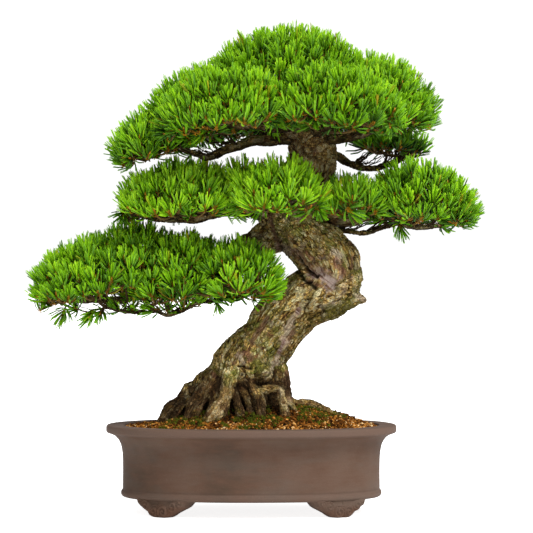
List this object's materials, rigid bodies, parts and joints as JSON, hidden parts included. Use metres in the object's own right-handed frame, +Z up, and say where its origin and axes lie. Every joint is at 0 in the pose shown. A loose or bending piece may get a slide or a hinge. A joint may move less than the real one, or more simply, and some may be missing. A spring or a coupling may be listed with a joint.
{
  "type": "bonsai pine in an oval pot",
  "caption": "Potted bonsai pine: an S-curved barked trunk on surface roots, needle pads on separate branches, and a mound of soil in an oval unglazed pot on cloud feet.",
  "frame": {"origin": "on the ground under the middle of the tree and pot, which is the centre of the whole box's bottom face", "axes": "+X to the right of the tree's front view, +Y towards its back, +Z up"},
  "size_m": [0.7764, 0.4713, 0.83],
  "materials": {
    "clay": "unglazed brown-grey stoneware, smooth and dull, paler on the rim, with faint scuffs",
    "screen": "matt black mesh",
    "wire": "copper-brown anodised",
    "pumice": "coarse porous grains",
    "soil": "loose grains of baked clay, orange-brown with tan and dark ones",
    "moss": "short soft cushions",
    "bark": "flaky plates, olive-tan with dark cracks",
    "needles": "fine glossy needles in tufts"
  },
  "bodies": {
    "root": {"pot": "clay", "drainage_screen_left": "screen", "screen_wire_left": "wire", "root_tie_wire_left": "wire", "drainage_screen_right": "screen", "screen_wire_right": "wire", "root_tie_wire_right": "wire", "drainage_layer": "pumice", "soil": "soil", "trunk": "bark", "moss_left": "moss", "moss_front": "moss", "moss_right": "moss", "branch_lower_left": "bark", "branch_lower_front": "bark", "branch_lower_under": "bark", "branch_middle_left": "bark", "branch_middle_front": "bark", "branch_middle_right": "bark", "branch_middle_right_rear": "bark", "branch_middle_back": "bark", "branch_upper_right": "bark", "branch_crown_left": "bark", "branch_crown_front_left": "bark", "branch_crown_front_right": "bark", "branch_crown_right": "bark", "branch_crown_back_left": "bark", "branch_crown_back_right": "bark", "foliage_crown_apex": "needles", "foliage_crown_left": "needles", "foliage_crown_left_tip": "needles", "foliage_crown_right": "needles", "foliage_crown_front_left": "needles", "foliage_crown_front_right": "needles", "foliage_crown_back_left": "needles", "foliage_crown_back_right": "needles", "foliage_upper_right": "needles", "foliage_middle_left": "needles", "foliage_middle_left_inner": "needles", "foliage_middle_front": "needles", "foliage_middle_right": "needles", "foliage_middle_right_inner": "needles", "foliage_middle_back": "needles", "foliage_lower_left_outer": "needles", "foliage_lower_left_second": "needles", "foliage_lower_left_middle": "needles", "foliage_lower_left_inner": "needles"}
  },
  "joints": []
}
